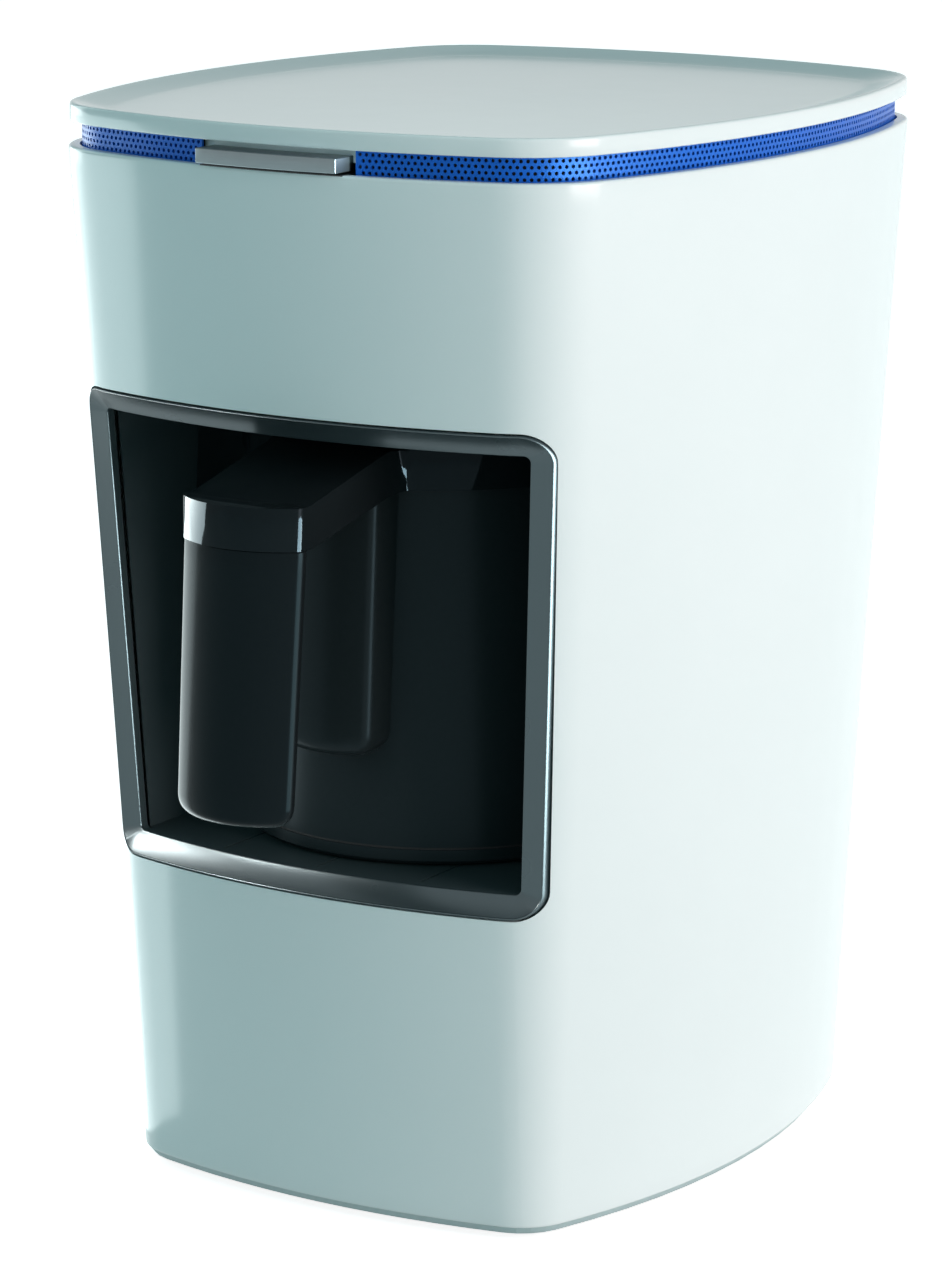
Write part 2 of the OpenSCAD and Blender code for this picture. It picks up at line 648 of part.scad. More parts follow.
// rib under the arm, from its rounded foot up: height, half width, and reach from the pot's axis
rib_w = grip_w - 3.2;
rib_z0 = collar_z0 - 62.8;
rib = [[0, rib_w - 4.5, 53], [1, rib_w - 2, 53.9], [3.4, rib_w - 0.4, 54.1], [6, rib_w, 54],
  [61, rib_w, 50.4]];
function rib_ring(w, y) = [[-w, y + 4], [-w + 0.9, y + 2.3], [-w + 2.6, y + 1.5],
  [-w + 7, y + 0.4], [0, y], [w - 7, y + 0.4], [w - 2.6, y + 1.5], [w - 0.9, y + 2.3],
  [w, y + 4], [w, pot_y - 34], [-w, pot_y - 34]];
module handle_rib() {
  color(black) place() difference() {
    loft([for (l = rib) [for (p = rib_ring(l[1], pot_y - l[2])) [p[0], p[1], rib_z0 + l[0]]]]);
    cone(rib_z0 - 15, collar_z0 + 4, 0.1);
  }
}
module pot_base() {
  color(black) place() {
    translate([0, pot_y, pot_z0]) cylinder(r1 = pot_r0 - 0.8, r2 = pot_r0, h = 0.8, $fn = 96);
    cone(pot_z0 + 0.8, pot_z0 + 3.4, 0);
  }
}
module base_seal() {
  color(rubber) place() translate([0, pot_y, 0]) tube(pot_z0 + 3.4, pot_z0 + 4, pot_r0 - 0.6, pot_r0 - 2);
}
module heater_plate() {
  color("#9aa1a4") place() rod(0, pot_y, pot_z0 + 9.4, pot_r0 - 11, 2.6);
}
module heater_coil() {
  color(copper) place() translate([0, pot_y, pot_z0 + 7.1]) rotate_extrude()
    translate([pot_r0 - 21, 0]) circle(r = 2.3, $fn = 32);
}
// rear face of the plug, a clearance in front of the socket
plug_y = pot_y + chamber_r - 8.5;
module pot_plug() {
  color("#1d2224") place() difference() {
    box(0, plug_y - 8, pot_z0 + 6, 28, 16, 21);
    cone(pot_z0 + 2, pot_z0 + 40, 0.1);
    for (x = [-8, 0, 8]) lying(x, plug_y - 16.5, floor_z + 17, 3, 20);
  }
}
module plug_contacts() {
  color(brass) place() for (x = [-8, 0, 8]) difference() {
    lying(x, plug_y - 4.5, floor_z + 17, 3, 4);
    lying(x, plug_y - 8.5, floor_z + 17, 2.35, 12);
  }
}

outer_shell();
base_tray();
foot_front_left();
foot_front_right();
foot_rear_left();
foot_rear_right();
base_screws();
vent_band();
top_frame();
top_lid();
lid_screws();
bezel_frame();
bezel_gasket();
cavity_liner();
cavity_floor();
heat_shield();
lower_posts();
upper_posts();
rear_socket();
contact_pins();
presence_sensor();
sensor_housing();
sensor_lens();
control_board();
board_posts();
buzzer();
start_switch();
power_board();
power_standoffs();
power_relay();
transformer();
capacitor();
heatsink();
terminal_block();
wire_conduit();
cord_gland();
cord_clamp();
clamp_screws();
button_guide();
start_button();
button_stems();
pot_body();
pot_cup();
pot_collar();
handle_grip();
handle_core();
handle_rib();
handle_screws();
heater_plate();
heater_coil();
pot_base();
base_seal();
pot_plug();
plug_contacts();
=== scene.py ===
import bmesh
import bpy
import json
import math
import numpy as np
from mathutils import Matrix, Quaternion, Vector


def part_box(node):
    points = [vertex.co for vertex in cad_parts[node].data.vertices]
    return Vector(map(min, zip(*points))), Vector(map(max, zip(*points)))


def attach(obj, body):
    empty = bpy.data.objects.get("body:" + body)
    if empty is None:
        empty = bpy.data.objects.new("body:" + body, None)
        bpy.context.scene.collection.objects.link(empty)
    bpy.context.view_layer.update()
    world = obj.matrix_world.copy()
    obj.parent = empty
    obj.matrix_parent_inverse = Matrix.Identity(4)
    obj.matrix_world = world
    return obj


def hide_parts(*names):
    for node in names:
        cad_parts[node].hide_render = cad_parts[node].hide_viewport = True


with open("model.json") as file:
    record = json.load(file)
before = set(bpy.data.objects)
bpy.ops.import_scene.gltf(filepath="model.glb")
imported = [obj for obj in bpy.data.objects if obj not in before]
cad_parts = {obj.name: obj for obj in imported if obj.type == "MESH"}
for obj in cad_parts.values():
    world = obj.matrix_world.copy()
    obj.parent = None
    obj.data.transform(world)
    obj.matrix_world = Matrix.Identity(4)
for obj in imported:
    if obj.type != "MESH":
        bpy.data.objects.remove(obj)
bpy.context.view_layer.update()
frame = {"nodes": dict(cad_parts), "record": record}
NODE = frame["nodes"]


# ---------------------------------------------------------------- sizes, mm
def span(node, axis):
    """Lowest and highest place of a CAD node along an axis, in mm."""
    return [round(1000 * corner[axis], 3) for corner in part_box(node)]


# read from the frame
SHELL_Z0, RIM_Z = span("outer_shell", 2)
BODY_W = 2 * span("outer_shell", 0)[1]
BODY_H = span("top_lid", 2)[1]
LID_Z0 = span("vent_band", 2)[1]
LID_FRONT, LID_BACK = span("top_lid", 1)
FOOT_H = span("base_tray", 2)[0]
BEZEL_Z0, BEZEL_Z1 = span("bezel_frame", 2)
BEZEL_TOP = -span("bezel_frame", 0)[0]
COLLAR_Z0 = span("pot_body", 2)[1]
POT_Z0 = span("pot_base", 2)[0]
GRIP_Z0, GRIP_Z1 = span("handle_grip", 2)
RIB_Z0, RIB_Z1 = span("handle_rib", 2)
RIB_W = span("handle_rib", 0)[1]
BUTTON_W = span("start_button", 0)[1]

# the same as the solids', where no box gives them: BASE_ is at the table, half widths are from the middle
LID_INSET, BAND_INSET, WALL = 0.4, 3.2, 2.6
BASE_W, BASE_D = 142.0, 161.5
FRONT_BOW, BASE_FRONT_BOW = 19.0, 12.0
SIDE_BOW, BASE_SIDE_BOW = 22.0, 18.0
CORNER_R, BASE_CORNER_R = 26.0, 15.0
SHRINK, LEAST_R = 0.1, 0.8  # how much of the taper comes early below the rim, and the tightest corner
GATE_GAP = 0.4              # between the skin's opening and the bezel's outline
DISH_DEPTH, DISH_SLOPE = 1.9, 8.0
BEZEL_BOTTOM, BEZEL_FACE, BEZEL_DIP, BEZEL_R = 59.7, 5.6, 3.4, 6.5
POT_R0, POT_R1, POT_Y = 47.0, 41.0, -24.0
GRIP_W, GRIP_LEAN, HANDLE_REACH = 16.2, 4.6, 17.5

BODY_D = LID_BACK - LID_FRONT + 2 * LID_INSET
SHIFT_Y = (LID_BACK + LID_FRONT) / 2          # the part's frame is this far in front of the body's middle
ARM_Y = -BODY_D / 2 - HANDLE_REACH


# ---------------------------------------------------------------- camera
def camera():
    """A long lens, to the right of the front and a little above it. Its place is the aim plus a distance
    along the direction that azimuth and elevation give."""
    az, el, dist = math.radians(32.69), math.radians(12.77), 1.15798
    back = Vector((math.sin(az) * math.cos(el), -math.cos(az) * math.cos(el), math.sin(el)))
    aim = Vector((-0.00752, SHIFT_Y / 1000, 0.1221))
    cam = bpy.data.objects.new("camera", bpy.data.cameras.new("camera"))
    bpy.context.scene.collection.objects.link(cam)
    cam.data.sensor_width, cam.data.lens = 36.0, 132.73
    cam.data.clip_start, cam.data.clip_end = 0.05, 50.0
    cam.rotation_mode = "QUATERNION"
    cam.location = aim + back * dist
    cam.rotation_quaternion = (-back).to_track_quat("-Z", "Y")
    bpy.context.scene.camera = cam


camera()
bpy.context.scene.view_settings.view_transform = "Standard"


# ---------------------------------------------------------------- materials
def paint(hexa):
    """sRGB hex colour as linear RGBA."""
    c = [int(hexa[i:i + 2], 16) / 255 for i in (1, 3, 5)]
    return [v / 12.92 if v <= 0.04045 else ((v + 0.055) / 1.055) ** 2.4 for v in c] + [1.0]


def put(tree, kind, settings=None, links=None):
    """Adds a node. Settings go to its inputs, by name or number, or else to its properties. Links join
    another node's output to an input."""
    node = tree.nodes.new(kind)
    for key, value in (settings or {}).items():
        if isinstance(key, int) or key in node.inputs.keys():
            node.inputs[key].default_value = value
        else:
            setattr(node, key, value)
    for key, source in (links or {}).items():
        tree.links.new(source, node.inputs[key])
    return node


def shaded(amount, hexa):
    """The colour with its light scaled by an amount."""
    return [min(1.0, c * amount) for c in paint(hexa)[:3]] + [1.0]


def finish_of(name, base, rough, metal=0.0, ior=1.5, vary=0.06, grain=(1.667, 1.667, 1.667), bump=0.0,
              rough_vary=0.05, pads=None, tint=None):
    """A surface finish: a base colour that a faint noise moves by the share vary up and down, roughness that
    wanders with it by rough_vary, and a shallow bump in metres.

    grain is the size of the noise's features in mm along X, Y and Z. pads are round spots of another colour:
    the colour, their spacing in mm and their radius as a share of it. tint colours a plastic's mirror."""
    m = bpy.data.materials.new(name)
    m.use_nodes = True
    t = m.node_tree
    t.nodes.clear()
    where = put(t, "ShaderNodeTexCoord")
    scale = put(t, "ShaderNodeMapping", {"Scale": [1000 / g for g in grain]},
                {"Vector": where.outputs["Object"]})
    noise = put(t, "ShaderNodeTexNoise", {"Scale": 1.0, "Detail": 3.0}, {"Vector": scale.outputs["Vector"]})
    mix = put(t, "ShaderNodeMix", {"data_type": "RGBA", 6: shaded(1 - vary, base), 7: shaded(1 + vary, base)},
              {0: noise.outputs[0]})
    colour = mix.outputs[2]
    if pads:
        dots = put(t, "ShaderNodeTexVoronoi", {"Scale": 1000 / pads[1]}, {"Vector": where.outputs["Object"]})
        near = put(t, "ShaderNodeMath", {"operation": "LESS_THAN", 1: pads[2]}, {0: dots.outputs["Distance"]})
        over = put(t, "ShaderNodeMix", {"data_type": "RGBA", 7: paint(pads[0])},
                   {0: near.outputs[0], 6: colour})
        colour = over.outputs[2]
    wander = put(t, "ShaderNodeMapRange",
                 {"To Min": max(0.02, rough - rough_vary), "To Max": rough + rough_vary},
                 {"Value": noise.outputs[0]})
    bsdf = put(t, "ShaderNodeBsdfPrincipled", {"Metallic": metal},
               {"Base Color": colour, "Roughness": wander.outputs[0]})
    if not metal:
        bsdf.inputs["IOR"].default_value = ior
    if tint:
        bsdf.inputs["Specular Tint"].default_value = paint(tint)
    if bump:
        relief = put(t, "ShaderNodeBump", {"Strength": 1.0, "Distance": bump}, {"Height": noise.outputs[0]})
        t.links.new(relief.outputs[0], bsdf.inputs["Normal"])
    put(t, "ShaderNodeOutputMaterial", links={"Surface": bsdf.outputs[0]})
    return m


COOL_MIRROR = "#ceedff"     # the black plastics mirror white a little blue

# polished injection-moulded ABS: clean white with a clear, slightly soft mirror on top
WHITE = finish_of("polished_white_abs", "#e9eded", 0.16, vary=0.012, grain=(28.57, 28.57, 28.57),
                  rough_vary=0.02)
# the same plastic out of an unpolished mould
GREY_ABS = finish_of("matt_grey_abs", "#aebfc0", 0.5, vary=0.03, grain=(1.111, 1.111, 1.111), bump=0.00002)
# perforated aluminium sheet under a clear blue anodised layer, drawn round the body: fine lines run along it
BLUE = finish_of("blue_anodised_aluminium", "#1b62c8", 0.34, ior=1.45, vary=0.04, grain=(3.333, 3.333, 0.4),
                 tint="#76bbff")
# dark chrome under a thin smoke lacquer: part mirror, part an even slate grey
CHROME = finish_of("dark_chrome_plating", "#475357", 0.28, metal=0.5, vary=0.02,
                   grain=(16.667, 16.667, 16.667), rough_vary=0.02)
# black polypropylene from a satin mould: broad, weak highlights
SATIN_BLACK = finish_of("satin_black_polypropylene", "#272d2f", 0.3, ior=1.16, grain=(1.111, 1.111, 1.111),
                        bump=0.000004, tint=COOL_MIRROR)
# the grip's resin is darker, and polished enough to show a long highlight
GRIP_BLACK = finish_of("polished_grip_resin", "#171b1d", 0.2, ior=1.17, grain=(1.111, 1.111, 1.111),
                       tint="#b4e2f2")
# the niche's wall: the same polypropylene with a finer polish, painted a lighter charcoal than the other
# blacks: painted light that makes up for the shade inside the niche
NICHE_BLACK_PAINTED_LIGHTER = finish_of("black_polypropylene_painted_lighter", "#444f52", 0.35, ior=1.2, vary=0.05,
                        grain=(12.5, 12.5, 12.5), tint=COOL_MIRROR)
# piano-black ABS: mirror highlights with hard edges
GLOSS_BLACK = finish_of("piano_black_abs", "#181d1f", 0.05, ior=1.16, vary=0.04,
                        grain=(16.667, 16.667, 16.667), rough_vary=0.01, tint=COOL_MIRROR)
# brushed stainless bar: hairlines run along the bar, 0.17 to 0.33 mm apart
BRUSHED = finish_of("brushed_stainless_bar", "#6d787b", 0.38, metal=1.0, vary=0.08,
                    grain=(16.667, 0.3333, 0.16667), bump=0.000002, rough_vary=0.04)
# stainless steel off a lathe: rings one above the other
STEEL = finish_of("turned_stainless_steel", "#b9c0c4", 0.25, metal=1.0, vary=0.08, grain=(5, 5, 0.25),
                  rough_vary=0.08)
# aluminium plate as rolled: long streaks and a dull shine
ALUMINIUM = finish_of("mill_aluminium", "#a9aeb1", 0.38, metal=1.0, vary=0.08, grain=(12.5, 0.4, 0.4),
                      rough_vary=0.08)
# pressed contact brass, wiped bright by use
BRASS = finish_of("nickel_brass_contact", "#b89a4e", 0.25, metal=1.0, vary=0.1, grain=(1.111, 1.111, 1.111))
# copper wire under clear enamel: warm, with darker places
COPPER = finish_of("enamelled_copper_coil", "#b5713c", 0.32, metal=1.0, vary=0.12,
                   grain=(1.111, 1.111, 1.111))
# moulded silicone: nearly black and without a mirror
RUBBER = finish_of("black_silicone_rubber", "#1e2224", 0.7, vary=0.1, grain=(0.6667, 0.6667, 0.6667),
                   bump=0.00003)
# glass-epoxy board with solder resist and tinned pads
BOARD = finish_of("green_epoxy_glass_board", "#1d5a3c", 0.4, vary=0.1, grain=(1.25, 1.25, 1.25),
                  pads=("#b9a35a", 3.846, 0.16))
# pressed phenolic resin: dull black with a fine grit
PHENOLIC = finish_of("black_phenolic_moulding", "#15191b", 0.5, vary=0.1, grain=(0.8333, 0.8333, 0.8333),
                     bump=0.00002)
# moulded acrylic that passes infrared: very dark red and clear
LENS = finish_of("dark_red_acrylic_lens", "#34100f", 0.08, ior=1.49, vary=0.05, grain=(5, 5, 5))
# shrunk plastic sleeve over an aluminium can
CAN = finish_of("blue_sleeved_capacitor_can", "#2a3552", 0.35, vary=0.08, grain=(2.5, 2.5, 2.5))
# stacked iron sheets 0.45 mm thick, seen on edge
CORE = finish_of("laminated_iron_core", "#595e62", 0.55, metal=0.6, vary=0.25, grain=(16.667, 0.4545, 16.667))
# moulded nylon: dull green
TERMINAL = finish_of("green_nylon_terminal", "#3c6a48", 0.5, vary=0.08, grain=(1.111, 1.111, 1.111))

SLOT_FINISH = {
    "white_gloss": WHITE, "frame_plastic": GREY_ABS, "blue_metal": BLUE, "gunmetal": CHROME,
    "black_gloss": SATIN_BLACK, "black_matte": PHENOLIC, "soft_black": RUBBER,
    "steel": STEEL, "bar_steel": BRUSHED, "alu": ALUMINIUM, "brass_pin": BRASS, "copper_coil": COPPER,
    "board": BOARD, "dark_lens": LENS, "blue_can": CAN, "core_iron": CORE, "green_block": TERMINAL,
}


def dress(obj, material):
    """Gives an object one material."""
    obj.data.materials.clear()
    obj.data.materials.append(material)


for part in frame["record"]["subparts"]:
    dress(NODE[part["node"]], SLOT_FINISH[part["material_slot"]])
# the niche's liner and floor take the black painted lighter, painted light against the niche's shade
for name in ("cavity_liner", "cavity_floor"):
    dress(NODE[name], NICHE_BLACK_PAINTED_LIGHTER)


# ---------------------------------------------------------------- surfaces
def lerp(p, q, t):
    """The value a share t of the way from p to q."""
    return p + (q - p) * t


def arcs(z, inset):
    """A quarter of the body's outline at heights z, moved in by inset, as three touching arcs.

    The half width and half depth shrink from rim to base a little faster than a straight line, the front and
    side arcs keep their own bulges, and the corner arc is the circle of the given radius inside both. An
    arc's radius is (half chord squared + bulge squared) / (2 bulge)."""
    z = np.asarray(z, float)
    t = np.maximum(0, (RIM_Z - z) / (RIM_Z - FOOT_H))
    e = t + SHRINK * t * (1 - t)
    half_w, half_d = lerp(BODY_W, BASE_W, e) / 2, lerp(BODY_D, BASE_D, e) / 2
    bow_f, bow_s = lerp(FRONT_BOW, BASE_FRONT_BOW, t), lerp(SIDE_BOW, BASE_SIDE_BOW, t)
    rf = (half_w ** 2 + bow_f ** 2) / (2 * bow_f) - inset
    rs = (half_d ** 2 + bow_s ** 2) / (2 * bow_s) - inset
    r = np.maximum(lerp(CORNER_R, BASE_CORNER_R, t) - inset, LEAST_R)
    a, b = half_w - inset, half_d - inset
    c1y, c2x = rf - b, a - rs
    dx, dy = c2x, -c1y
    apart = np.hypot(dx, dy)
    h = ((rf - r) ** 2 - (rs - r) ** 2 + apart ** 2) / (2 * apart)
    k = np.sqrt((rf - r) ** 2 - h ** 2)
    cx, cy = dx / apart * h - dy / apart * k, c1y + dy / apart * h + dx / apart * k
    a1, a2 = np.arctan2(cy - c1y, cx), np.arctan2(cy, cx - c2x)
    return {"rf": rf, "rs": rs, "r": r, "c1y": c1y, "c2x": c2x, "cx": cx, "cy": cy, "a1": a1, "a2": a2,
            "l1": rf * (a1 + math.pi / 2), "l2": r * (a2 - a1), "l3": -rs * a2}


def on_arcs(g, q):
    """Points (x, y) at arc lengths q from the middle of the front, along the quarter outline g.

    Each arc gives its centre plus its radius times (cosine, sine) of the angle that q has reached on it."""
    first, second = q < g["l1"], q < g["l1"] + g["l2"]
    ang = np.where(first, -math.pi / 2 + q / g["rf"],
                   np.where(second, g["a1"] + (q - g["l1"]) / g["r"],
                            g["a2"] + (q - g["l1"] - g["l2"]) / g["rs"]))
    rad = np.where(first, g["rf"], np.where(second, g["r"], g["rs"]))
    x0 = np.where(first, 0 * g["cx"], np.where(second, g["cx"], g["c2x"]))
    y0 = np.where(first, g["c1y"], np.where(second, g["cy"], 0 * g["cy"]))
    return x0 + rad * np.cos(ang), y0 + rad * np.sin(ang)


def length_at_x(g, x):
    """Arc length from the front's middle at which the quarter outline g reaches x, the inverse of on_arcs."""
    on_front = x <= g["rf"] * np.cos(g["a1"])
    on_corner = x <= g["cx"] + g["r"] * np.cos(g["a2"])
    q1 = g["rf"] * np.arcsin(np.clip(x / g["rf"], -1, 1))
    q2 = g["l1"] + g["r"] * (-np.arccos(np.clip((x - g["cx"]) / g["r"], -1, 1)) - g["a1"])
    q3 = g["l1"] + g["l2"] + g["rs"] * (-np.arccos(np.clip((x - g["c2x"]) / g["rs"], -1, 1)) - g["a2"])
    return np.where(on_front, q1, np.where(on_corner, q2, q3))


def skin_y(x, z, inset=0.0):
    """Depth of the body's front at (x, z)."""
    g = arcs(z, inset)
    return on_arcs(g, length_at_x(g, np.abs(x)))[1]


def ring_round(z, inset, counts=(18, 16, 22)):
    """Closed rings of points round the body, one row for each height and inset given, with counts points on
    the front, corner and side arc of each quarter."""
    z, inset = np.broadcast_arrays(np.asarray(z, float), np.asarray(inset, float))
    g = {k: v[:, None] for k, v in arcs(z, inset).items()}
    steps = [np.linspace(0, 1, n, endpoint=False) for n in counts]
    corner, quarter = g["l1"] + g["l2"], g["l1"] + g["l2"] + g["l3"]
    q = np.concatenate([g["l1"] * steps[0], g["l1"] + g["l2"] * steps[1], corner + g["l3"] * steps[2],
                        quarter], axis=1)
    x, y = on_arcs(g, q)
    return quarters_to_ring(x, y, z)


def quarters_to_ring(x, y, z):
    """Mirrors rows of quarter outlines into closed rings: right front, right back, left back, left front."""
    xs = np.concatenate([x, x[:, -2::-1], -x[:, 1:], -x[:, -2:0:-1]], axis=1)
    ys = np.concatenate([y, -y[:, -2::-1], -y[:, 1:], y[:, -2:0:-1]], axis=1)
    return np.stack([xs, ys, np.broadcast_to(z[:, None], xs.shape)], axis=2)


def grid_faces(rows, cols, wrap_rows=False, wrap_cols=True):
    """Quads of a grid of points, row by row: each point with the next in its row and the two in the row
    after."""
    i, j = np.meshgrid(np.arange(rows if wrap_rows else rows - 1), np.arange(cols if wrap_cols else cols - 1),
                       indexing="ij")
    i2, j2 = (i + 1) % rows, (j + 1) % cols
    return np.stack([i * cols + j, i * cols + j2, i2 * cols + j2, i2 * cols + j], axis=-1).reshape(-1, 4)


def piece(name, points, faces, material, body, replaced=(), sharp=None):
    """A mesh object from points in mm round the body's middle, riding on a body of the assembly. Edges
    sharper than sharp degrees stay hard."""
    mesh = bpy.data.meshes.new(name)
    points = (np.asarray(points, float).reshape(-1, 3) + (0, SHIFT_Y, 0)) / 1000
    mesh.from_pydata(points.tolist(), [], [list(f) for f in faces])
    mesh.validate()
    mesh.shade_smooth()
    if sharp is not None:
        mesh.set_sharp_from_angle(angle=math.radians(sharp))
    obj = bpy.data.objects.new(name, mesh)
    bpy.context.scene.collection.objects.link(obj)
    dress(obj, material)
    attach(obj, body)
    if replaced:
        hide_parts(*replaced)
    return obj


def capped(points):
    """Points and faces of a tube of rows of points, closed at its first and last row by a fan of triangles
    round the row's mean point."""
    rows, cols = points.shape[:2]
    first, last, middle = 0, (rows - 1) * cols, rows * cols
    j = np.arange(cols)
    after = (j + 1) % cols
    faces = grid_faces(rows, cols).tolist()
    faces += np.stack([first + after, first + j, middle + 0 * j], axis=1).tolist()
    faces += np.stack([last + j, last + after, middle + 1 + 0 * j], axis=1).tolist()
    return np.vstack([points.reshape(-1, 3), points[0].mean(0), points[-1].mean(0)]), faces


# ---------------------------------------------------------------- shell with its opening
def gate_half_width(z, grow):
    """Half width of the opening's rounded outline at height z, moved out by grow: the sloping side, less what
    the round corners of radius r take off near the two ends, which is r less the root of r squared less the
    distance into the corner squared."""
    z0, z1, r = BEZEL_Z0 - grow, BEZEL_Z1 + grow, BEZEL_R + grow
    up = (np.clip(z, z0, z1) - BEZEL_Z0) / (BEZEL_Z1 - BEZEL_Z0)
    side = lerp(BEZEL_BOTTOM, BEZEL_TOP, up) + grow
    low = np.clip((z0 + r - z) / r, 0, 1)
    high = np.clip((z - z1 + r) / r, 0, 1)
    return side - r + r * np.sqrt(1 - np.maximum(low, high) ** 2)


def shell():
    """The white skin: the body's outline at every height, its columns bent so that two of them run along the
    opening's sides. Inside it lies the same grid one wall in, and the two are joined along every edge."""
    z0, z1, r = BEZEL_Z0 - GATE_GAP, BEZEL_Z1 + GATE_GAP, BEZEL_R + GATE_GAP
    turn = r * (1 - np.cos(np.linspace(0, math.pi / 2, 12)))
    zs = np.concatenate([
        [SHELL_Z0, SHELL_Z0 + 0.2, SHELL_Z0 + 0.6], np.linspace(8, z0, 13)[:-1], z0 + turn,
        np.linspace(z0 + r, z1 - r, 26)[1:-1], (z1 - turn)[::-1],
        np.linspace(z1, RIM_Z - 0.9, 14)[1:], RIM_Z - np.array([0.5, 0.2, 0.05, 0.0])])
    lip = np.zeros_like(zs)
    lip[-4:] = (0.06, 0.24, 0.5, 0.8)
    lip[:3] = (0.3, 0.1, 0.0)
    to_side, to_corner, to_back = 24, 22, 24

    def sheet(inset):
        """The whole grid an inset in: even steps from the middle to the opening's side, on to the corner's
        end, and on to the middle of the body's side."""
        g = {k: v[:, None] for k, v in arcs(zs, inset).items()}
        side = length_at_x(g, gate_half_width(zs, GATE_GAP)[:, None])
        corner, back = g["l1"] + g["l2"], g["l1"] + g["l2"] + g["l3"]
        q = np.concatenate([side * np.linspace(0, 1, to_side, endpoint=False),
                            side + (corner - side) * np.linspace(0, 1, to_corner, endpoint=False),
                            corner + (back - corner) * np.linspace(0, 1, to_back)], axis=1)
        return quarters_to_ring(*on_arcs(g, q), zs)

    outer, inner = sheet(lip), sheet(np.full_like(zs, WALL))
    rows, cols = outer.shape[:2]
    low, high = int(np.argmin(abs(zs - z0))), int(np.argmin(abs(zs - z1)))
    keep = np.ones((rows - 1, cols), bool)
    keep[low:high, :to_side] = False
    keep[low:high, cols - to_side:] = False
    faces = grid_faces(rows, cols).reshape(rows - 1, cols, 4)[keep]
    off = rows * cols

    # upright edges of what is kept, then level ones, each bridged from the outer grid to the inner
    i, j = np.nonzero(keep != np.roll(keep, -1, axis=1))
    a, b = i * cols + (j + 1) % cols, (i + 1) * cols + (j + 1) % cols
    upright = np.where(keep[i, j][:, None], np.stack([a, a + off, b + off, b], 1),
                       np.stack([b, b + off, a + off, a], 1))
    none = np.zeros((1, cols), bool)
    solid = np.vstack([none, keep, none])
    i, j = np.nonzero(solid[:-1] != solid[1:])
    a, b = i * cols + j, i * cols + (j + 1) % cols
    level = np.where(solid[i, j][:, None], np.stack([a, b, b + off, a + off], 1),
                     np.stack([b, a, a + off, b + off], 1))

    points = np.vstack([outer.reshape(-1, 3), inner.reshape(-1, 3)])
    faces = np.vstack([faces, faces[:, ::-1] + off, upright, level])
    piece("shell_skin", points, faces, WHITE, "housing", ("outer_shell",), sharp=40)


shell()


def base():
    """The base ring under the skin: a chamfer that turns in to the underside, as rows of height and inset."""
    zs = [SHELL_Z0 - 0.1, SHELL_Z0 - 0.1, SHELL_Z0 - 0.35, FOOT_H + 0.35, FOOT_H + 0.1, FOOT_H, FOOT_H]
    inset = [3.0, 0.6, 0.62, 1.5, 1.75, 2.1, 12.0]
    ring = ring_round(zs, inset)
    faces = grid_faces(*ring.shape[:2])[:, ::-1]
    piece("base_edge", ring, faces, GREY_ABS, "housing", (), sharp=35)


base()


def lid():
    """The lid: a thin upright rim, a sharp edge, and a dish that falls by 1 - (1 - s) to the power 1.25 of
    its depth over its slope, so that it eases into a flat middle."""
    s = np.linspace(0, 1, 14)
    fall = 1 - (1 - s) ** 1.25
    edge, skirt = 1.75, 3.2
    zs = np.concatenate([
        [LID_Z0 - skirt, LID_Z0 - skirt, LID_Z0, LID_Z0, LID_Z0 + 0.12, LID_Z0 + 0.4],
        [BODY_H - 0.8, BODY_H - 0.35, BODY_H - 0.1, BODY_H],
        BODY_H - 0.04 - (DISH_DEPTH - 0.04) * fall, [BODY_H - DISH_DEPTH - 0.02]])
    inset = np.concatenate([
        [16.0, BAND_INSET + 2.0, BAND_INSET + 2.0, 0.95, 0.55, LID_INSET], [LID_INSET, 0.5, 0.72, 1.1],
        edge + DISH_SLOPE * s, [edge + DISH_SLOPE + 2.0]])
    ring = ring_round(zs, inset)
    middles = [ring[-1:] * (share, share, 1) for share in (0.8, 0.5, 0.2)]
    points, faces = capped(np.concatenate([ring[:1] * (0.5, 0.5, 1), ring] + middles))
    piece("lid_dish", points, faces, WHITE, "housing", ("top_lid",), sharp=50)


lid()


def round_the_body(g):
    """How to lay a strip round the closed outline whose quarter is g, and the outline's length."""
    quarter = g["l1"] + g["l2"] + g["l3"]
    around = 4 * quarter

    def wrap(q, z, depth):
        """The point at arc length q and height z, depth behind the strip's face, square to the outline."""
        q = np.mod(q, around)
        part = np.minimum(np.floor(q / quarter), 3).astype(int)
        inside = np.where(part % 2 == 1, (part + 1) * quarter - q, q - part * quarter)
        x, y = on_arcs(g, inside)
        x1, y1 = on_arcs(g, inside + 0.01)
        step = np.hypot(x1 - x, y1 - y)
        x, y = x - depth * (y1 - y) / step, y + depth * (x1 - x) / step
        x, y = x * np.where(part >= 2, -1, 1), y * np.where((part == 1) | (part == 2), -1, 1)
        return np.stack([x, y, np.asarray(z, float) + 0 * x], axis=-1)

    return wrap, around


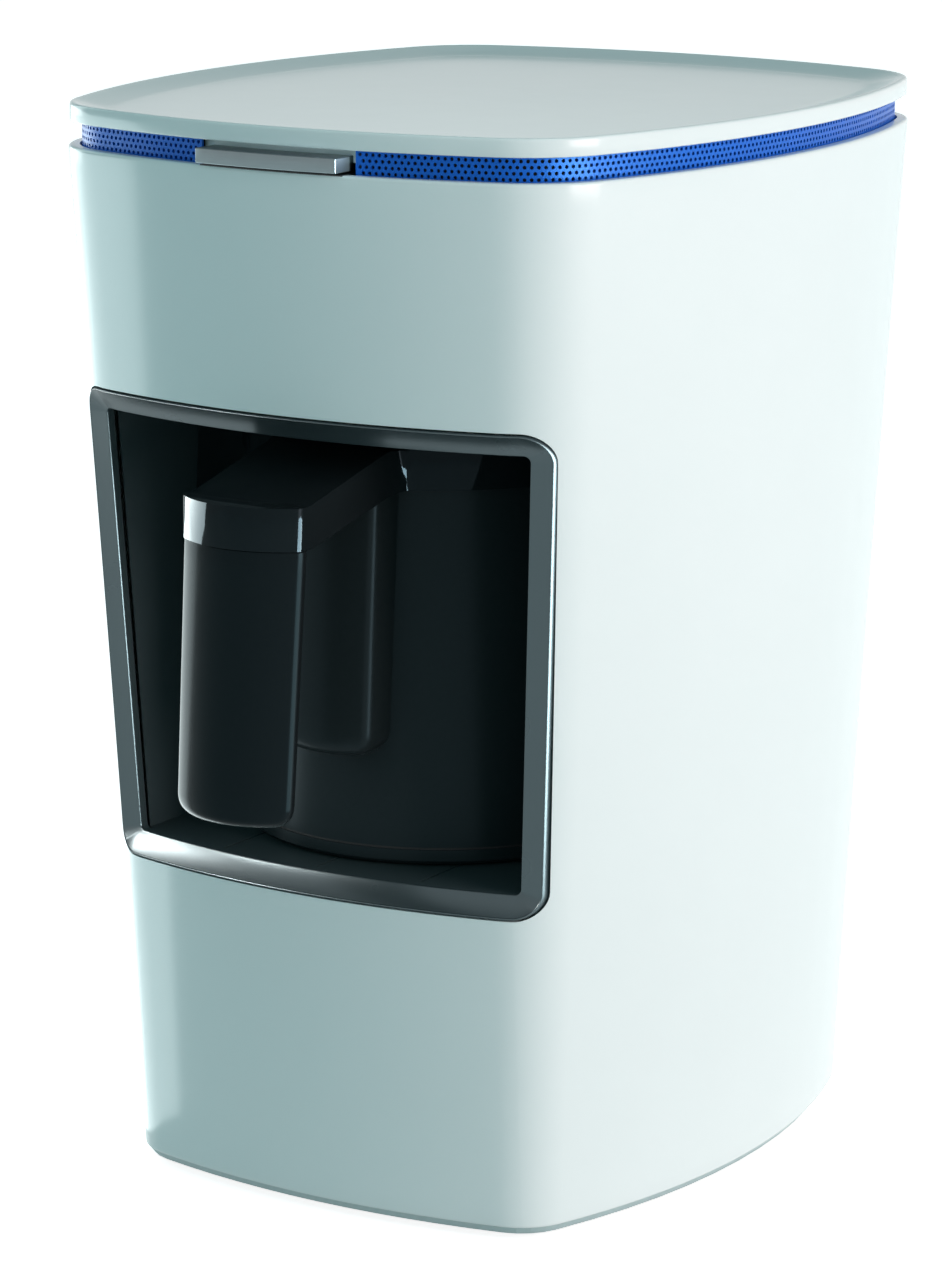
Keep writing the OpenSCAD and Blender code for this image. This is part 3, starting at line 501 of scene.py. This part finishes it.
def band():
    """The perforated band: a strip laid round the body one band inset in, punched with staggered rows of
    round holes. Each cell is a ring of eight points round its hole, joined to its rectangle's corners and
    middles. A plain margin runs above and below the rows, and the cut ends show beside the start bar."""
    row_count, rise, spacing, hole, deep = 4, 1.36, 1.57, 0.45, 0.6
    top, foot, gap = LID_Z0 - 0.32, RIM_Z - 1.5, BUTTON_W + 1.9
    wrap, around = round_the_body({k: float(v[0]) for k, v in arcs([RIM_Z], BAND_INSET).items()})
    count = int(round(around / spacing))
    pitch = around / count
    turn = np.arange(8) * math.pi / 4
    border = np.array([[1, 0], [1, 1], [0, 1], [-1, 1], [-1, 0], [-1, -1], [0, -1], [1, -1]])
    j = np.arange(8)
    after = (j + 1) % 8
    cell = np.concatenate([np.stack([j, after, 8 + after, 8 + j], -1),
                           np.stack([8 + j, 8 + after, 16 + after, 16 + j], -1)])
    one = np.array([[0, 1, 2, 3]])
    points, faces = [], []

    def add(some, quads):
        """Adds points to the strip, and quads that count from the first of them."""
        faces.append(quads + sum(len(p) for p in points))
        points.append(some.reshape(-1, 3))

    for row in range(row_count):
        z = top - (row + 0.5) * rise
        q = (np.arange(count) + 0.5 * (row % 2)) * pitch
        q = q[(q - pitch / 2 > gap) & (q + pitch / 2 < around - gap)][:, None]
        ring = wrap(q + hole * np.cos(turn), z + hole * np.sin(turn), 0.0)
        edge = wrap(q + pitch / 2 * border[:, 0], z + rise / 2 * border[:, 1], 0.0)
        back = wrap(q + hole * np.cos(turn), z + hole * np.sin(turn), deep)
        add(np.concatenate([edge, ring, back], axis=1),
            (np.arange(len(q))[:, None, None] * 24 + cell[None]).reshape(-1, 4))
        for a, b in ((gap, q[0, 0] - pitch / 2), (q[-1, 0] + pitch / 2, around - gap)):
            add(wrap(np.array([a, b, b, a]), z + rise / 2 * np.array([-1, -1, 1, 1]), 0.0), one)
    along = np.linspace(gap, around - gap, count)
    for low, high in ((foot, top - row_count * rise), (top, LID_Z0)):
        add(np.stack([wrap(along, low, 0.0), wrap(along, high, 0.0)]), grid_faces(2, count, wrap_cols=False))
    for q, flip in ((gap, -1), (around - gap, 1)):
        add(wrap(np.full(4, q), np.array([foot, LID_Z0, LID_Z0, foot]), np.array([0, 0, deep, deep])),
            one[:, ::flip])
    piece("perforated_band", np.vstack(points), np.vstack(faces), BLUE, "housing", ("vent_band",),
          sharp=35)

    # a dark sheet behind the holes: painted shade that stands in for the dark inside of the body
    along = np.linspace(gap, around - gap, 400)
    cloth = np.stack([wrap(along, foot, deep + 0.5), wrap(along, LID_Z0, deep + 0.5)])
    piece("band_painted_shade_sheet", cloth, grid_faces(2, len(along), wrap_cols=False), RUBBER, "housing", ())


band()


# ---------------------------------------------------------------- bezel
def gate_outline(top, bottom, z0, z1, r, n=(40, 16, 40)):
    """Rounded trapezoid in X and Z, anticlockwise seen from the front, with n points on each level side, each
    corner and each upright."""
    tilt = math.atan2(top - bottom, z1 - z0)

    def corner(cx, cz, a0, a1):
        """Centre plus r times (cosine, sine) of angles from a0 to a1."""
        a = np.linspace(a0, a1, n[1], endpoint=False)
        return np.stack([cx + r * np.cos(a), cz + r * np.sin(a)], -1)

    def side(p, q, k):
        """k points at even steps from p towards q."""
        return np.array(p) + (np.array(q) - p) * np.linspace(0, 1, k, endpoint=False)[:, None]

    down, up, left = -math.pi / 2, math.pi / 2, math.pi + tilt
    return np.vstack([
        side((-bottom + r, z0), (bottom - r, z0), n[0]), corner(bottom - r, z0 + r, down, -tilt),
        side((bottom, z0 + r), (top, z1 - r), n[2]), corner(top - r, z1 - r, -tilt, up),
        side((top - r, z1), (-top + r, z1), n[0]), corner(-top + r, z1 - r, up, left),
        side((-top, z1 - r), (-bottom, z0 + r), n[2]), corner(-bottom + r, z0 + r, left, 1.5 * math.pi)])


def bezel():
    """The chrome frame: rings between the opening's outer and inner outline, each a share of the way in, laid
    on the skin and moved back by its own depth. A round lip outside, a flat face sloping in, a tight inner
    edge and a return into the niche."""
    share = np.array([0, 0, 0.008, 0.022, 0.045, 0.065, 0.085, 0.1, 0.11,
                      0.90, 0.94, 0.97, 0.99, 1.0, 1.0, 0.7])
    depth = np.concatenate([
        [4.0, 0.35, 0.0, -0.25, -0.4, -0.42, -0.36, -0.2, -0.1],
        BEZEL_DIP + np.array([-0.22, -0.12, 0.0, 0.2, 0.5]), [6.0, 6.0]])
    outer = gate_outline(BEZEL_TOP, BEZEL_BOTTOM, BEZEL_Z0, BEZEL_Z1, BEZEL_R)
    inner = gate_outline(BEZEL_TOP - BEZEL_FACE - 0.5, BEZEL_BOTTOM - BEZEL_FACE - 0.5,
                         BEZEL_Z0 + BEZEL_FACE - 0.3, BEZEL_Z1 - BEZEL_FACE + 0.3, 1.4)
    at = outer[None] + (inner - outer)[None] * share[:, None, None]
    y = skin_y(at[..., 0], at[..., 1]) + depth[:, None]
    points = np.stack([at[..., 0], y, at[..., 1]], axis=-1)
    rows, cols = points.shape[:2]
    faces = grid_faces(rows, cols, wrap_rows=True)
    back = (rows - 3) * cols
    piece("chrome_bezel", points, faces[:back], CHROME, "housing", ("bezel_frame",), sharp=32)
    # the return into the niche takes the same black painted lighter, painted light against the niche's shade
    piece("bezel_return", points, faces[back:], NICHE_BLACK_PAINTED_LIGHTER, "housing", (), sharp=32)


bezel()


# ---------------------------------------------------------------- start bar, pot and handle
def softened(node, name, material, body, width):
    """A copy of a CAD node, its loose triangles merged, its flat faces joined, and its edges rounded by
    width mm."""
    mesh = NODE[node].data.copy()
    bm = bmesh.new()
    bm.from_mesh(mesh)
    bmesh.ops.remove_doubles(bm, verts=bm.verts, dist=2e-6)
    bmesh.ops.dissolve_limit(bm, angle_limit=math.radians(0.6), verts=bm.verts, edges=bm.edges)
    bm.to_mesh(mesh)
    bm.free()
    mesh.shade_smooth()
    obj = bpy.data.objects.new(name, mesh)
    bpy.context.scene.collection.objects.link(obj)
    dress(obj, material)
    bevel = obj.modifiers.new("round", "BEVEL")
    bevel.width, bevel.segments = width / 1000, 3
    bevel.limit_method, bevel.angle_limit = "ANGLE", math.radians(28)
    bevel.harden_normals = True
    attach(obj, body)
    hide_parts(node)


softened("pot_collar", "collar_and_arm", GLOSS_BLACK, "pot", 0.4)
softened("start_button", "start_bar", BRUSHED, "button", 0.25)


def bowed_half(w, bow, round_side, n=24):
    """Half of a plan that starts at its foremost point: a bow across the front, which is the arc whose radius
    is (w squared + bow squared) / (2 bow), and a round side that touches it from inside.

    Returns x, y and how many points lie before the side's widest point."""
    rad = (w ** 2 + bow ** 2) / (2 * bow)
    x_side = w - round_side
    y_side = rad - math.sqrt((rad - round_side) ** 2 - x_side ** 2)
    touch = math.atan2(y_side - rad, x_side)
    bow_a = np.linspace(-math.pi / 2, touch, n)
    side_a = np.concatenate([np.linspace(touch, 0, 10)[1:], np.linspace(0, math.pi / 2, 12)[1:]])
    x = np.concatenate([rad * np.cos(bow_a), x_side + round_side * np.cos(side_a)])
    y = np.concatenate([rad + rad * np.sin(bow_a), y_side + round_side * np.sin(side_a)])
    x[0] = 0
    return x, y, n + 9


def rounded_in(h, r):
    """How far a corner of radius r has drawn a side in at a height h above its lower end."""
    return r - np.sqrt(r ** 2 - np.clip(r - h, 0, r) ** 2)


def grip():
    """The upright grip: a bowed plan with half round sides, carried down a leaning line and drawn in round
    its lower corners. It narrows by a share, taper, to its lower end, and a slight bevel parts it from the
    arm. Its front shell and its back meet at the sides' widest line."""
    tall, low_r, foot_r, taper, half_depth = GRIP_Z1 - GRIP_Z0, 4.6, 2.2, 0.045, 6.8
    h = np.concatenate([low_r * (1 - np.cos(np.linspace(0, math.pi / 2, 14))),
                        np.linspace(low_r, tall - 0.3, 14)[1:], [tall - 0.12, tall]])
    narrow = rounded_in(h, low_r)
    thin = rounded_in(h, foot_r) + 0.085 * np.clip(4.9 - h, 0, None)
    narrow[-2:] += (0.03, 0.16)
    thin[-2:] += (0.03, 0.16)
    lean = (h - tall) * math.tan(math.radians(GRIP_LEAN))
    wide = (GRIP_W - narrow) / GRIP_W * (1 - taper * (tall - h) / tall)
    deep = (half_depth - thin) / half_depth
    x, y, cut = bowed_half(GRIP_W, bow=6.0, round_side=2.6)
    y = y + ARM_Y + 0.4
    split = y[cut - 1]
    for name, node, half, shared in (("grip_shell", "handle_grip", slice(0, cut), 1),
                                     ("grip_back", "handle_core", slice(cut - 1, None), 0)):
        xs = np.concatenate([x[half], -x[half][shared:][::-1]])
        ys = np.concatenate([y[half], y[half][shared:][::-1]])
        rows_x = xs[None] * wide[:, None]
        rows_y = split + (ys - split)[None] * deep[:, None] + lean[:, None]
        rows_z = np.broadcast_to((h + GRIP_Z0)[:, None], rows_x.shape)
        points, faces = capped(np.stack([rows_x, rows_y, rows_z], axis=-1))
        piece(name, points, faces, GRIP_BLACK, "pot", (node,), sharp=50)


grip()


def rib():
    """The rib under the arm: a bowed bar with rounded edges that runs down the pot's cone to a round foot.
    Its back lies in the cone: with r the cone's radius at that height less a sink, it stands in front of the
    pot's axis by the root of r squared less half width squared."""
    foot_r, edge_r, bow, side_r, sink = 6.0, 3.4, 2.3, 2.6, 0.6
    low_reach, high_reach = 54.0, 50.4
    tall = RIB_Z1 - RIB_Z0
    h = np.concatenate([foot_r * (1 - np.cos(np.linspace(0, math.pi / 2, 12))),
                        np.linspace(foot_r, tall, 16)[1:]])
    z = h + RIB_Z0
    half = RIB_W - rounded_in(h, foot_r)
    up = np.clip((h - foot_r) / (tall - foot_r), 0, 1)
    front = POT_Y - lerp(low_reach, high_reach, up) + rounded_in(h, edge_r)
    x, y, cut = bowed_half(RIB_W, bow, side_r, n=16)
    cone = lerp(POT_R0, POT_R1, (z - POT_Z0) / (COLLAR_Z0 - POT_Z0)) - sink
    back = POT_Y - np.sqrt(cone ** 2 - half ** 2)
    xr = np.concatenate([x[None, :cut] * (half / RIB_W)[:, None], half[:, None]], axis=1)
    yr = np.concatenate([front[:, None] + y[None, :cut], back[:, None]], axis=1)
    right = np.stack([xr, yr, np.broadcast_to(z[:, None], xr.shape)], axis=-1)
    left = right[:, :0:-1] * (-1, 1, 1)
    points, faces = capped(np.concatenate([right, left], axis=1))
    piece("pot_rib", points, faces, SATIN_BLACK, "pot", ("handle_rib",), sharp=50)


rib()


# ---------------------------------------------------------------- floor, light and sky
COOL, WARM = "#e8f6f7", "#fffaf5"
FLOOR_WHITE = 0.88          # the floor's own white, to which the lamps' light is added
FILL, FILL_LEVEL = "#9acdd1", 0.72
SKY_TOP = "#3c5659"


def eye_or_mirror(tree):
    """1 for what the camera or a mirror sees, 0 for light that falls on the object."""
    ray = put(tree, "ShaderNodeLightPath")
    seen = put(tree, "ShaderNodeMath", {"operation": "MAXIMUM"},
               {0: ray.outputs["Is Camera Ray"], 1: ray.outputs["Is Glossy Ray"]})
    return seen.outputs[0]


def floor():
    """White paper that takes the object's shadow, and gives the eye and mirrors an even white besides."""
    mesh = bpy.data.meshes.new("floor")
    mesh.from_pydata([(-3, -3, 0), (3, -3, 0), (3, 3, 0), (-3, 3, 0)], [], [(0, 1, 2, 3)])
    obj = bpy.data.objects.new("floor", mesh)
    bpy.context.scene.collection.objects.link(obj)
    m = bpy.data.materials.new("white_paper_sweep")
    m.use_nodes = True
    t = m.node_tree
    t.nodes.clear()
    level = put(t, "ShaderNodeMath", {"operation": "MULTIPLY", 1: FLOOR_WHITE}, {0: eye_or_mirror(t)})
    white = put(t, "ShaderNodeEmission", {"Color": (1, 1, 1, 1)}, {"Strength": level.outputs[0]})
    paper = put(t, "ShaderNodeBsdfDiffuse", {"Color": paint("#e6e8e8")})
    both = put(t, "ShaderNodeAddShader", links={0: paper.outputs[0], 1: white.outputs[0]})
    put(t, "ShaderNodeOutputMaterial", links={"Surface": both.outputs[0]})
    obj.data.materials.append(m)


def sky():
    """A sky that lights the object with a cool grey, 1.3 of its level from the horizon down and 0.36
    overhead. To the eye and in mirrors it is white at the horizon and below, and greys by height times
    (1 + 1.6 y), so more behind the object than in front of it."""
    world = bpy.data.worlds.new("studio")
    bpy.context.scene.world = world
    world.use_nodes = True
    t = world.node_tree
    t.nodes.clear()
    where = put(t, "ShaderNodeTexCoord")
    part = put(t, "ShaderNodeSeparateXYZ", links={"Vector": where.outputs["Generated"]})
    behind = put(t, "ShaderNodeMath", {"operation": "MULTIPLY_ADD", 1: 1.6, 2: 1.0}, {0: part.outputs["Y"]})
    height = put(t, "ShaderNodeMath", {"operation": "MULTIPLY"}, {0: part.outputs["Z"], 1: behind.outputs[0]})
    level = put(t, "ShaderNodeMapRange", {"From Min": 0.0, "From Max": 1.1}, {"Value": height.outputs[0]})
    colour = put(t, "ShaderNodeMix", {"data_type": "RGBA", 6: (1, 1, 1, 1), 7: paint(SKY_TOP)},
                 {0: level.outputs[0]})
    seen = put(t, "ShaderNodeBackground", {"Strength": 1.0}, {"Color": colour.outputs[2]})
    dim = put(t, "ShaderNodeMapRange", {"To Min": FILL_LEVEL * 1.3, "To Max": FILL_LEVEL * 0.36},
              {"Value": part.outputs["Z"]})
    fill = put(t, "ShaderNodeBackground", {"Color": paint(FILL)}, {"Strength": dim.outputs[0]})
    both = put(t, "ShaderNodeMixShader", links={0: eye_or_mirror(t), 1: fill.outputs[0], 2: seen.outputs[0]})
    put(t, "ShaderNodeOutputWorld", links={"Surface": both.outputs[0]})


def lamp(name, at, aim, size, power, colour, diffuse=True, glossy=True, only=(), roll=0.0):
    """A soft rectangular lamp at a place, turned to a point, both in metres, and rolled about that line in
    degrees. It may be left out of diffuse light or of mirrors, and may be kept to the named pieces."""
    data = bpy.data.lights.new(name, "AREA")
    data.shape, data.size, data.size_y, data.energy = "RECTANGLE", size[0], size[1], power
    data.color = paint(colour)[:3]
    obj = bpy.data.objects.new(name, data)
    bpy.context.scene.collection.objects.link(obj)
    obj.location = at
    obj.rotation_mode = "QUATERNION"
    turn = (Vector(aim) - Vector(at)).to_track_quat("-Z", "Y")
    obj.rotation_quaternion = turn @ Quaternion((0, 0, 1), math.radians(roll))
    obj.visible_camera, obj.visible_diffuse, obj.visible_glossy = False, diffuse, glossy
    if only:
        group = bpy.data.collections.new(name + "_pieces")
        for lit in only:
            group.objects.link(bpy.data.objects[lit])
        obj.light_linking.receiver_collection = group


def glint(name, at, size, power, pieces, aim=None, colour=COOL, roll=0.0):
    """A lamp that only the named pieces mirror, turned level to the object's middle unless it has an aim."""
    lamp(name, at, aim or (0, at[1], at[2]), size, power, colour, diffuse=False, only=pieces, roll=roll)


floor()
sky()

# the big soft box that whitens the right side, and a weak one for the left
lamp("key_right", (1.52, -0.05, 0.43), (0, 0, 0.13), (0.9, 1.0), 17.8, "#fff1ef")
lamp("soft_left", (-1.1, 0.1, 0.5), (0, 0, 0.13), (0.5, 0.9), 3.5, "#e6f2f3")
# brightens the lid and the skin round the near corner
lamp("over_corner", (0.065, -0.085, 0.42), (0.065, -0.085, 0.2), (0.08, 0.08), 0.065, "#f2ffff", glossy=False)

# the white band down the left edge: close by, leaning and rolled along the body's taper
own_glints = ("collar_and_arm", "chrome_bezel")
skin = [o.name for o in bpy.context.scene.objects if o.type == "MESH" and o.name not in own_glints]
glint("strip_left", (-0.1174, -0.0505, 0.1285), (0.13, 0.268), 0.35, skin, aim=(0, -0.0505, 0.1673), roll=-13)
# the bright left end of the handle's cap, and the line at its right corner
glint("handle_left", (-0.32, -0.113, 0.16), (0.256, 0.28), 5.6, ("collar_and_arm",))
glint("handle_right", (0.3, -0.045, 0.08), (0.23, 0.15), 8.0, ("collar_and_arm",))
# the lines down the right of the grip and the rib, and the bezel's bright right lip with the band above it
glint("grip_right", (0.3, -0.085, 0.11), (0.25, 0.22), 1.3, ("grip_shell", "pot_rib"))
glint("edge_right", (0.3, -0.085, 0.11), (0.25, 0.22), 4.2, ("chrome_bezel", "perforated_band"))
# the white left end of the sill
glint("sill_left", (-0.32, -0.14, 0.235), (0.14, 0.1), 1.5, ("chrome_bezel",), colour=WARM)
glint("sill_corner", (-0.32, -0.37, 0.26), (0.1, 0.08), 2.2, ("chrome_bezel",), colour=WARM)
# the start bar's bright right end
glint("bar_end", (0.3, -0.13, 0.27), (0.1, 0.1), 7.0, ("start_bar",), aim=(0, -0.1, 0.25), colour="#e8f6ff")
